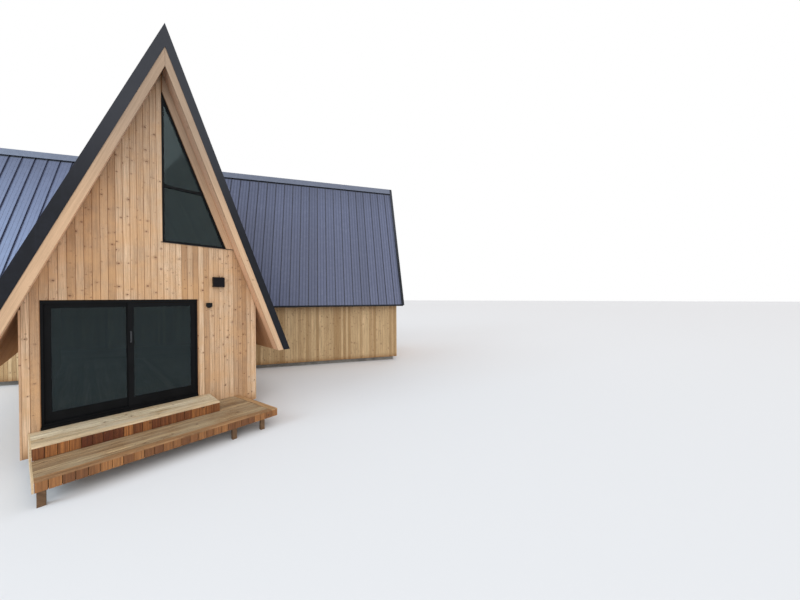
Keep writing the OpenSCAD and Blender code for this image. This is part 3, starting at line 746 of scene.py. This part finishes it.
# On the wing the painted shade beside ribs and seams grows from the left arm to the right arm, as the light
# falls.
wing_steel = finish_steel("wing_slate_steel", (88, 95, 122), (110, 116, 140), 0.42, along=along_wing,
                          shade_and_dust_ramp=(ARM_LEFT - 2.0, ARM_LEFT + 3.0, 0.04, 0.6))
slate_steel = finish_steel("front_slate_steel", (84, 91, 117), (106, 112, 135), 0.42, along=along_front)
black_steel = finish_steel("near_black_steel", (23, 25, 31), (36, 39, 48), 0.45, bump=0.1, shine=0.22,
                           faded=(50, 52, 58))
cap_steel = finish_steel("grey_cap_steel", (94, 100, 117), (114, 120, 136), 0.45, bump=0.15)
dress("front_roofing", slate_steel)
dress("wing_roofing", wing_steel)
for node in ("front_rake_metal", "wing_rake_metal", "eave_trims"):
    dress(node, black_steel, 0.003)
dress("ridge_caps", cap_steel, 0.003)


def slope_of(place, side):
    """On top of the sheet of one slope. place(along ridge, out from ridge, z)."""
    return lambda across, z, lift: place(across, side * run_out(SHEET_TOP + lift, z), z)


def in_front_part(y, x, z):
    return Vector((x, FRONT + y, z))


def valley_z(distance, side):
    """Height of the valley where the roof's run is cut off, at a distance from the crossing."""
    return plane_top(SHEET_TOP) - distance * math.cos(TURN) / (1 + side * math.sin(TURN)) * math.tan(TILT)


def rib_places(seam, end):
    """Where the ribs lie, at the thirds of every panel from seam to end."""
    while seam < end:
        for share in (1 / 3, 2 / 3):
            yield seam + share * PANEL
        seam += PANEL


def roll_rib(stack, where, middle, low):
    """Adds one rib from the height low up to the ridge cap."""
    if CAP_FOOT - low > 0.05:
        plank(stack, where, middle - RIB_HALF, middle + RIB_HALF, low, CAP_FOOT, RIB_HIGH, seed=0.0,
              bevel=(0.0039, 0.0039))


wing_front_ribs, wing_back_ribs, front_ribs = new_stack(), new_stack(), new_stack()
for u in rib_places(first_seam - PANEL, ARM_RIGHT + PANEL):
    if -ARM_LEFT - GABLE_END < u < ARM_RIGHT + GABLE_END:
        roll_rib(wing_back_ribs, slope_of(in_wing, 1), u, WING_EAVE)
        valley = valley_z(abs(u), 1 if u > 0 else -1) + VALLEY_CLEAR
        roll_rib(wing_front_ribs, slope_of(in_wing, -1), u, max(WING_EAVE, valley))
for y in rib_places(front_seam, CROSSING + HALF):
    for side in (-1, 1):
        valley = valley_z(CROSSING - y, side) + VALLEY_CLEAR
        roll_rib(front_ribs, slope_of(in_front_part, side), y, max(FRONT_EAVE, valley))
fasten("wing_ribs_front", wing_front_ribs, wing_steel)
fasten("wing_ribs_back", wing_back_ribs, wing_steel)
fasten("front_ribs", front_ribs, slate_steel)

# Gable windows: black aluminium frames with two panes of dark glass, a flat fir
# board between the slanted side and the soffit, and a folded sill below.
TRIM_WIDTH = 0.163
TRIM_THICK = 0.02
SILL_HIGH, SILL_OUT = 0.012, 0.03
SILL_PAST, SILL_SHORT = 0.03, 0.012  # of the window's left and right corners


def make_speckle():
    """The fine unevenness of painted and moulded surfaces."""
    group, given = open_group("fine_speckle", {"Place": None, "Scale": 90.0})
    return close_group(group, {"Speckle": clouds(group, given["Place"], given["Scale"], 3.0),
                               "Smudge": clouds(group, given["Place"], 3.0, 4.0)})


fine_speckle = make_speckle()


def finish_fitting(name, colour, rough, scale=90.0, metallic=0.0, shine=0.3):
    """Painted metal or moulded plastic, a little smudged."""
    finish, tree, shader = open_finish(name)
    fleck = put(tree, "Group", {"Place": spot(tree), "Scale": scale}, node_tree=fine_speckle).outputs
    rubbed = [1.22 * part + 4 for part in colour]
    feed(tree, shader, {
        "Base Color": blend(tree, ramp(tree, fleck["Smudge"], 0.35, 0.7), paint(*colour), paint(*rubbed)),
        "Roughness": reckon(tree, "MULTIPLY_ADD", fleck["Smudge"], 0.2, rough - 0.1),
        "Normal": emboss(tree, fleck["Speckle"], 0.12, 0.001),
        "Metallic": metallic,
        "Specular IOR Level": shine})
    return finish


def finish_glass(name, tint, gleam):
    """Tinted glass. gleam is the colour of what it mirrors."""
    finish, tree, shader = open_finish(name)
    fleck = put(tree, "Group", {"Place": spot(tree), "Scale": 2.0}, node_tree=fine_speckle).outputs
    feed(tree, shader, {
        "Base Color": blend(tree, fleck["Smudge"], paint(*tint), darker(tint, 0.9)),
        "Roughness": reckon(tree, "MULTIPLY_ADD", fleck["Smudge"], 0.03, 0.02),
        "Transmission Weight": 1.0,
        "IOR": 1.52,
        "Specular Tint": paint(*gleam)})
    return finish


def beside_window(where):
    """Between a window's slanted side and the soffit: across is the distance above the soffit plane."""
    return lambda across, z, lift: where(run_out(across, z), z, lift)


black_frame = finish_fitting("black_aluminium", (9, 10, 12), 0.42, shine=0.1)
dark_glass = finish_glass("dark_glass", (150, 168, 172), (186, 204, 206))
dress("window_frame", black_frame, 0.004)
dress("window_glass", dark_glass)

trims, sills = new_stack(), new_stack()
for key, where, _, _ in GABLES:
    plank(trims, beside_window(where), -TRIM_WIDTH, -CLEAR, WINDOW_LOW - 0.001, plane_top, TRIM_THICK,
          seed=71.0 + len(key))
    plank(sills, where, WINDOW_LEFT - SILL_PAST, window_corner - SILL_SHORT, WINDOW_LOW - SILL_HIGH,
          WINDOW_LOW, SILL_OUT, seed=0.0)
fasten("window_trim_boards", trims, pale_fir, stands_for=("window_trim",))
fasten("window_sills", sills, black_steel)

# Sliding door: a black aluminium frame with a fixed pane on the left and a sliding
# one on the right, which runs on two rollers in the outer track, and a folded
# flashing under the sill.
FLASHING_LOW, FLASHING_HIGH = 0.646, 0.7
FLASHING_OUT = 0.02
pull_steel = finish_fitting("dark_pull", (58, 59, 61), 0.3, metallic=0.7)
for node in ("door_frame", "fixed_panel", "sliding_panel"):
    dress(node, black_frame, 0.003)
for node in ("fixed_glass", "sliding_glass"):
    dress(node, dark_glass)
dress("door_pull", pull_steel, 0.004)

stack = new_stack()
plank(stack, on_front_gable, DOOR_LEFT - CLEAR, DOOR_RIGHT + CLEAR, FLASHING_LOW, FLASHING_HIGH,
      FLASHING_OUT, seed=0.0)
fasten("door_sill_flashing", stack, black_frame)

# Wall light and sensor: a square shade of folded steel that throws light up and
# down, and a small half-round detector beside the door's upper corner.
dark_plastic = finish_fitting("dark_plastic", (15, 15, 16), 0.5, scale=240.0, shine=0.15)
black_fitting = finish_fitting("black_fitting", (11, 9, 13), 0.45, shine=0.12)
dress("wall_light", black_fitting, 0.003)
dress("entry_sensor", dark_plastic, 0.006)

# Deck: two levels of sawn boards on joists, with a row of upright boards as the
# riser of the step, a border board along the edges, and pale boards on the end.
UPPER_RIGHT, UPPER_DEEP, LOWER_DEEP = 0.885, 0.88, 1.77
UPPER_TOP, LOWER_TOP = 0.645, 0.419
DECK_THICK, UPRIGHT_THICK = 0.028, 0.022
SKIRT_TOP, SKIRT_LOW = 0.391, 0.241
FRONT_RIGHT, BACK_RIGHT = 1.875, 1.6
FRONT_LEFT, BACK_LEFT = -1.775, -1.95
DECK_BOARD, UPRIGHT_BOARD = 0.14, 0.137
BEHIND_BOARDS = 0.013
BORDER_GAP = 0.008
DECK_SEED, UPRIGHT_SEED = 2.377, 0.917


def along_wall(top):
    """Deck boards that lie along the wall: across is the distance in front of it."""
    return lambda across, along, lift: Vector((along, FRONT - across, top - DECK_THICK + lift))


def left_end(distance):
    return BACK_LEFT + (FRONT_LEFT - BACK_LEFT) * distance / LOWER_DEEP


def right_end(distance):
    return BACK_RIGHT + (FRONT_RIGHT - BACK_RIGHT) * distance / LOWER_DEEP


def inner_right(distance):
    return right_end(distance) - DECK_BOARD - BORDER_GAP


def skewed_border(across, along, lift):
    return Vector((right_end(along) - across, FRONT - along, LOWER_TOP - DECK_THICK + lift))


def on_left_end(across, z, lift):
    return Vector((left_end(z) - lift, FRONT - z, across))


def lay_deck(stack, top, near, out, start, end, seed):
    edges = edges_over(near, out, DECK_BOARD, out)
    for number, (inner, outer) in enumerate(zip(edges, edges[1:])):
        plank(stack, along_wall(top), inner, outer, start, end, DECK_THICK, seed + number * DECK_SEED,
              gap=(0.005, 0.005), bevel=(0.006, 0.006))


def upright_row(stack, start, end, low, high, seed):
    """Upright boards side by side on the line from start to end, as places in front of the wall."""
    start, run = Vector(start), Vector(end) - Vector(start)
    heading = run.normalized()
    out = Vector((heading.y, -heading.x))

    def at(across, z, lift):
        flat = start + heading * across + out * (lift - UPRIGHT_THICK)
        return Vector((flat.x, FRONT + flat.y, z))
    count = max(1, round(run.length / UPRIGHT_BOARD))
    for number in range(count):
        plank(stack, at, run.length * number / count, run.length * (number + 1) / count, low, high,
              UPRIGHT_THICK, seed + number * UPRIGHT_SEED, gap=(0.003, 0.003))


upper_fir = finish_wood("worn_deck_fir", (255, 244, 214), (204, 174, 132), (104, 70, 46), grain=1.0,
                        spacing=0.4, weather=(220, 212, 190), weathered=0.5)
lower_fir = finish_wood("weathered_deck_fir", (212, 182, 140), (136, 102, 68), (74, 48, 32), grain=1.0,
                        spacing=0.4, weather=(164, 150, 124), weathered=0.5)
border_fir = finish_wood("border_fir", (236, 214, 178), (214, 184, 144), (106, 72, 50), grain=0.6,
                         spacing=0.6)
brown_border = finish_wood("brown_border_fir", (204, 164, 118), (152, 110, 72), (76, 48, 32), grain=0.9,
                           spacing=0.5)
riser_cedar = finish_wood("stained_cedar", (190, 126, 70), (92, 42, 20), (48, 24, 14), grain=0.7,
                          spacing=0.4, rough=0.55)
skirt_cedar = finish_wood("skirt_cedar", (172, 118, 68), (104, 62, 34), (56, 34, 22), grain=0.6,
                          spacing=0.4, rough=0.58)
stack = new_stack()
lay_deck(stack, UPPER_TOP, BEHIND_BOARDS, UPPER_DEEP - DECK_BOARD, left_end, UPPER_RIGHT, 30.0)
fasten("upper_deck_boards", stack, upper_fir, stands_for=("upper_deck",))
stack = new_stack()
lay_deck(stack, LOWER_TOP, UPPER_DEEP, LOWER_DEEP - DECK_BOARD, left_end, inner_right, 50.0)
lay_deck(stack, LOWER_TOP, BEHIND_BOARDS, UPPER_DEEP, UPPER_RIGHT + 0.003, inner_right, 60.0)
fasten("lower_deck_boards", stack, lower_fir, stands_for=("lower_deck",))
stack = new_stack()
plank(stack, along_wall(UPPER_TOP), UPPER_DEEP - DECK_BOARD, UPPER_DEEP, left_end, UPPER_RIGHT,
      DECK_THICK, 36.5, gap=(0.003, 0))
fasten("upper_deck_border", stack, border_fir)
stack = new_stack()
plank(stack, along_wall(LOWER_TOP), LOWER_DEEP - DECK_BOARD, LOWER_DEEP, left_end, inner_right,
      DECK_THICK, 70.0, gap=(0.005, 0))
plank(stack, skewed_border, 0.0, DECK_BOARD, BEHIND_BOARDS, LOWER_DEEP, DECK_THICK, 71.3, gap=(0, 0.002))
fasten("lower_deck_border", stack, brown_border)

stack = new_stack()
step_left, step_right = (left_end(UPPER_DEEP), -UPPER_DEEP), (UPPER_RIGHT, -UPPER_DEEP)
upright_row(stack, step_left, step_right, LOWER_TOP, UPPER_TOP - DECK_THICK, 81.0)
upright_row(stack, step_right, (UPPER_RIGHT, -BEHIND_BOARDS), LOWER_TOP, UPPER_TOP - DECK_THICK, 110.0)
fasten("step_riser_boards", stack, riser_cedar, stands_for=("deck_skirts",))
stack = new_stack()
skirt_left, skirt_right = (FRONT_LEFT, -LOWER_DEEP), (FRONT_RIGHT, -LOWER_DEEP)
upright_row(stack, skirt_left, skirt_right, SKIRT_LOW, SKIRT_TOP, 130.0)
upright_row(stack, skirt_right, (BACK_RIGHT, -BEHIND_BOARDS), SKIRT_LOW, SKIRT_TOP, 170.0)
fasten("lower_skirt_boards", stack, skirt_cedar)
stack = new_stack()
plank(stack, on_left_end, LOWER_TOP, UPPER_TOP, BEHIND_BOARDS, UPPER_DEEP, UPRIGHT_THICK, 190.0,
      gap=(0.001, 0))
plank(stack, on_left_end, SKIRT_LOW, LOWER_TOP, BEHIND_BOARDS, LOWER_DEEP, UPRIGHT_THICK, 191.0,
      gap=(0, 0.001))
fasten("end_boards_left", stack, border_fir, stands_for=("deck_end_boards",))

# Structure behind the boards: walls, floors, joists and the roof's own timber,
# which show at the gaps, through the glass and from below.
BROWN = (172, 124, 82), (146, 100, 62), (80, 50, 32)
FLOOR_BROWN = (176, 142, 104), (142, 106, 72), (84, 56, 38)
JOIST_BROWN = (120, 92, 66), (92, 66, 44), (60, 40, 28)
SIDEWAYS, BACKWARDS, UPWARDS = (1, 0, 0), (0, 1, 0), (0, 0, 1)
EITHER_WALL, EITHER_SIDE = (1, 1, 0), (1, 0, 1)
SHEATHING, FLOORBOARD, JOIST = 0.11, 0.13, 0.05


def make_places():
    """Boards laid over a CAD surface, from the place along and across them."""
    group, given = open_group("board_places", {"Along": 0.0, "Across": 0.0, "Width": 0.11})
    number = reckon(group, "FLOOR", reckon(group, "DIVIDE", given["Across"], given["Width"]))
    place = join(group, given["Along"], given["Across"], times(group, number, NEXT_SEED))
    return close_group(group, {"Board": place}, kind="Vector")


board_places = make_places()


def boards_by_place(turn, along, across, width):
    """How a CAD node's surface is divided into boards; along and across are directions, before turn."""
    def lay(tree):
        place = turned_spot(tree, turn)
        run, over = [put(tree, "VectorMath", {0: place, 1: way}, operation="DOT_PRODUCT").outputs["Value"]
                     for way in (along, across)]
        return put(tree, "Group", {"Along": run, "Across": over, "Width": width},
                   node_tree=board_places).outputs["Board"]
    return lay


wall_front = finish_wood("front_wall_boards", *BROWN,
                         board=boards_by_place(0, UPWARDS, EITHER_WALL, SHEATHING))
wall_wing = finish_wood("wing_wall_boards", *BROWN,
                        board=boards_by_place(TURN, UPWARDS, EITHER_WALL, SHEATHING))
roof_front = finish_wood("front_ceiling_boards", *BROWN,
                         board=boards_by_place(0, UPWARDS, BACKWARDS, EAVE_BOARD))
roof_wing = finish_wood("wing_ceiling_boards", *BROWN,
                        board=boards_by_place(TURN, UPWARDS, SIDEWAYS, EAVE_BOARD))
floor_front = finish_wood("floor_boards", *FLOOR_BROWN, rough=0.42,
                          board=boards_by_place(0, BACKWARDS, SIDEWAYS, FLOORBOARD))
floor_wing = finish_wood("wing_floor_boards", *FLOOR_BROWN, rough=0.42,
                         board=boards_by_place(TURN, SIDEWAYS, BACKWARDS, FLOORBOARD))
joist_wood = finish_wood("sawn_joists", *JOIST_BROWN, rough=0.75,
                         board=boards_by_place(0, BACKWARDS, EITHER_SIDE, JOIST))
timber = [
    (wall_front, ("front_wall_left", "front_wall_right", "front_wall_base", "front_wall_upper",
                  "side_wall_left", "side_wall_right")),
    (wall_wing, ("wing_wall_front_left", "wing_wall_front_right", "wing_wall_back",
                 "wing_gable_left", "wing_gable_right")),
    (roof_front, ("front_roof_left", "front_roof_right", "front_soffit")),
    (roof_wing, ("wing_roof_front_left", "wing_roof_front_right", "wing_roof_back")),
    (floor_front, ("front_floor", "loft_floor")),
    (floor_wing, ("wing_floor",)),
    (joist_wood, ("deck_frame",)),
]
for finish, nodes in timber:
    for node in nodes:
        dress(node, finish)

# Foundation: cast concrete walls under the front part and the wing, poured
# between boards and set back under the siding.
concrete, tree, shader = open_finish("cast_concrete")
place = spot(tree)
cement = clouds(tree, place, 2.2, 8.0, Roughness=0.7)
pores = put(tree, "TexVoronoi", {"Vector": place, "Scale": 38.0}).outputs["Distance"]
grey = blend(tree, ramp(tree, cement, 0.35, 0.65), paint(112, 110, 106), paint(146, 144, 138))
feed(tree, shader, {
    "Base Color": blend(tree, ramp(tree, pores, 0.14, 0.08), grey, paint(78, 76, 74)),
    "Roughness": ramp(tree, cement, 0.3, 0.7, 0.8, 0.95),
    "Normal": emboss(tree, ramp(tree, pores, 0.05, 0.2), 0.5, 0.004)})
for node in ("front_foundation", "wing_foundation"):
    dress(node, concrete)
